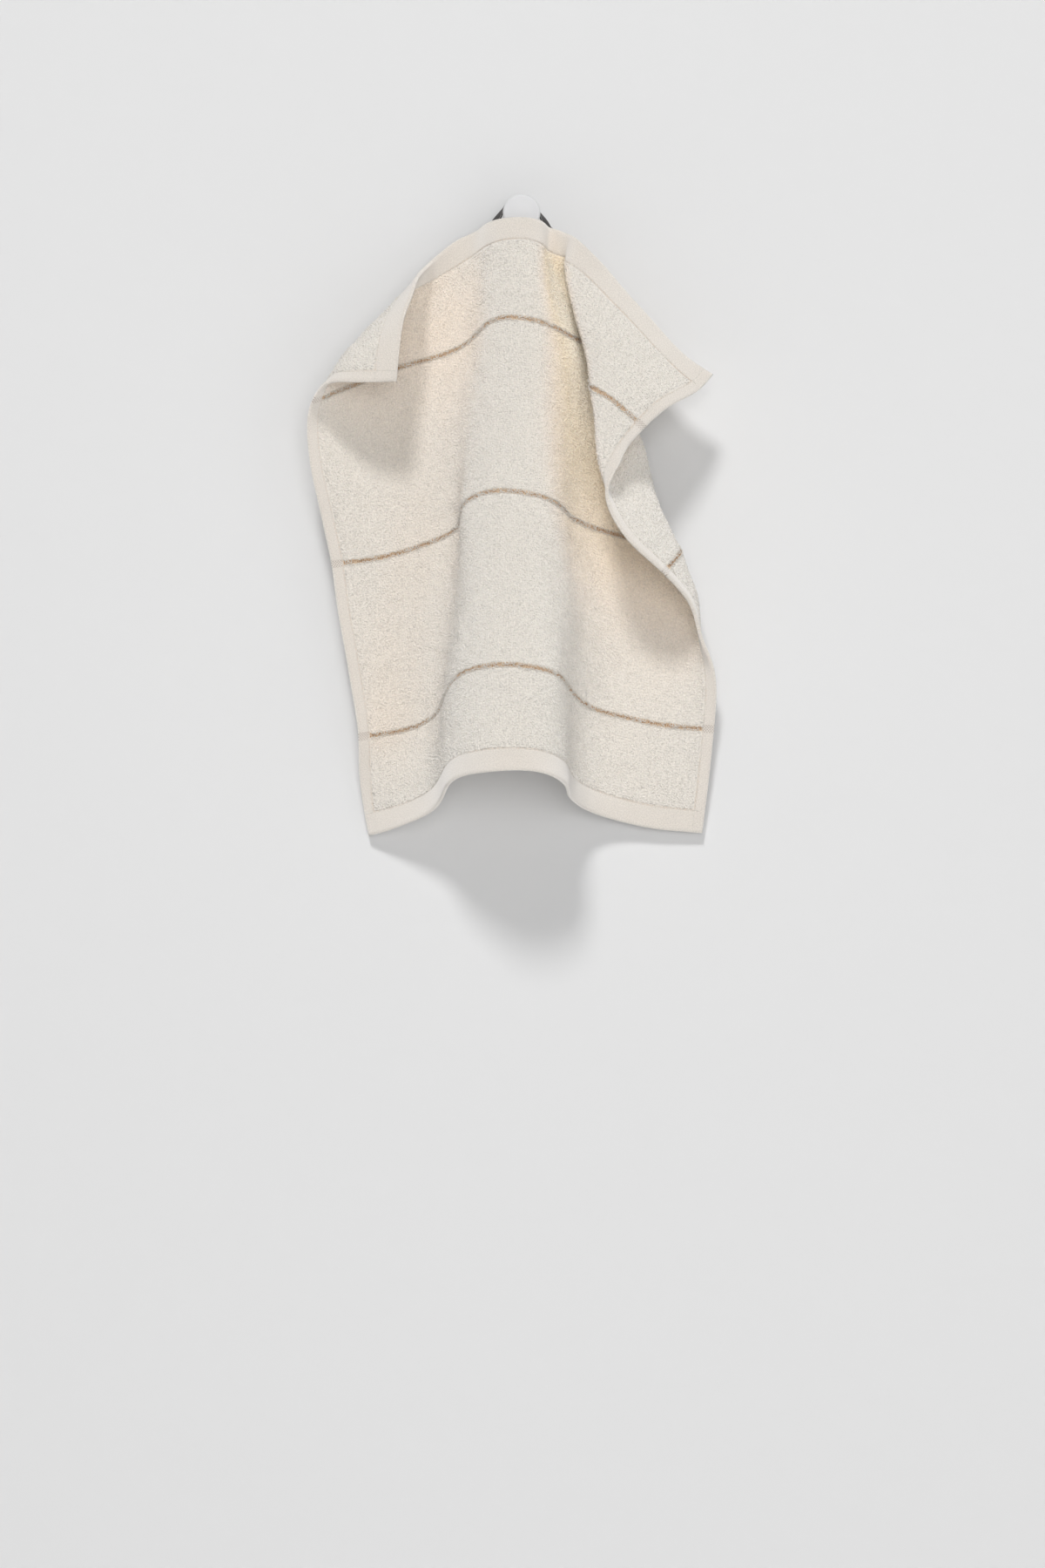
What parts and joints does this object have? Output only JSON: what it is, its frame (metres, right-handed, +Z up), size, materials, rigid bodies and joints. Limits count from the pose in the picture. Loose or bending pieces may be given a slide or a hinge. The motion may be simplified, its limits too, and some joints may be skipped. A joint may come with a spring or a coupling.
{
  "type": "washcloth hanging on a wall peg",
  "caption": "Square terry washcloth with thin woven stripes, hung in soft folds by a dark tape loop from a pale round wall peg.",
  "frame": {"origin": "middle of the peg's flat back, where it meets the wall", "axes": "+X to the right seen from the front, +Y into the wall, +Z up"},
  "size_m": [0.2181, 0.0952, 0.342],
  "materials": {
    "terry": "off-white cotton terry with beige woven stripes",
    "tape": "dark grey woven tape with a paler edge",
    "peg": "pale grey satin"
  },
  "bodies": {
    "root": {"cloth": "terry", "hanging_loop": "tape", "wall_peg": "peg"}
  },
  "joints": []
}
